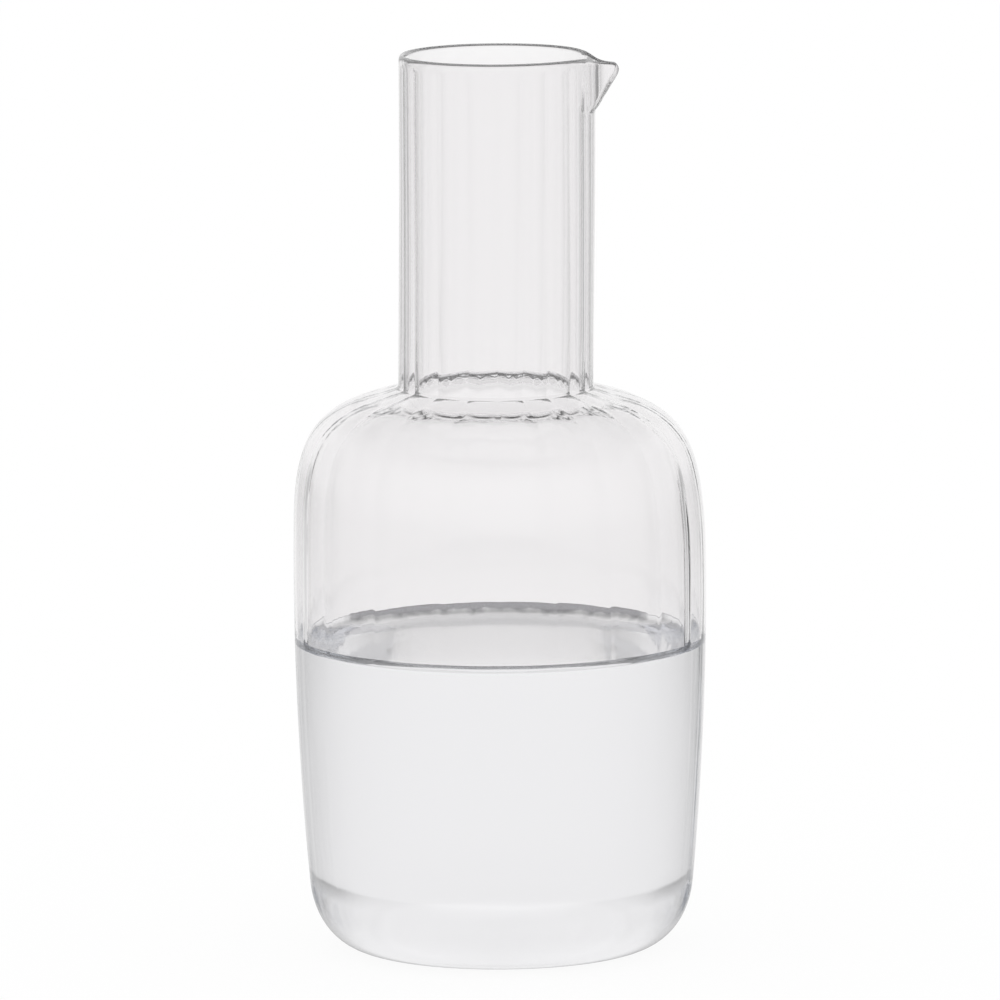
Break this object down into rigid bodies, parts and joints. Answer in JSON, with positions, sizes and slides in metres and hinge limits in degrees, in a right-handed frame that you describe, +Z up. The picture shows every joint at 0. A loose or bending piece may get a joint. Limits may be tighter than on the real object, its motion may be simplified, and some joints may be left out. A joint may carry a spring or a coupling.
{
  "type": "carafe",
  "caption": "Blown clear-glass carafe with a round-shouldered ribbed body, tall straight neck and small pinched pouring spout, part filled with still water.",
  "frame": {"origin": "centre of the face that it stands on", "axes": "+Z up along the neck, +X towards the pouring spout"},
  "size_m": [0.11, 0.11, 0.2395],
  "materials": {
    "clear_glass": "clear, fire-polished",
    "still_water": "clear, still liquid"
  },
  "bodies": {
    "root": {"carafe": "clear_glass", "water": "still_water"}
  },
  "joints": []
}
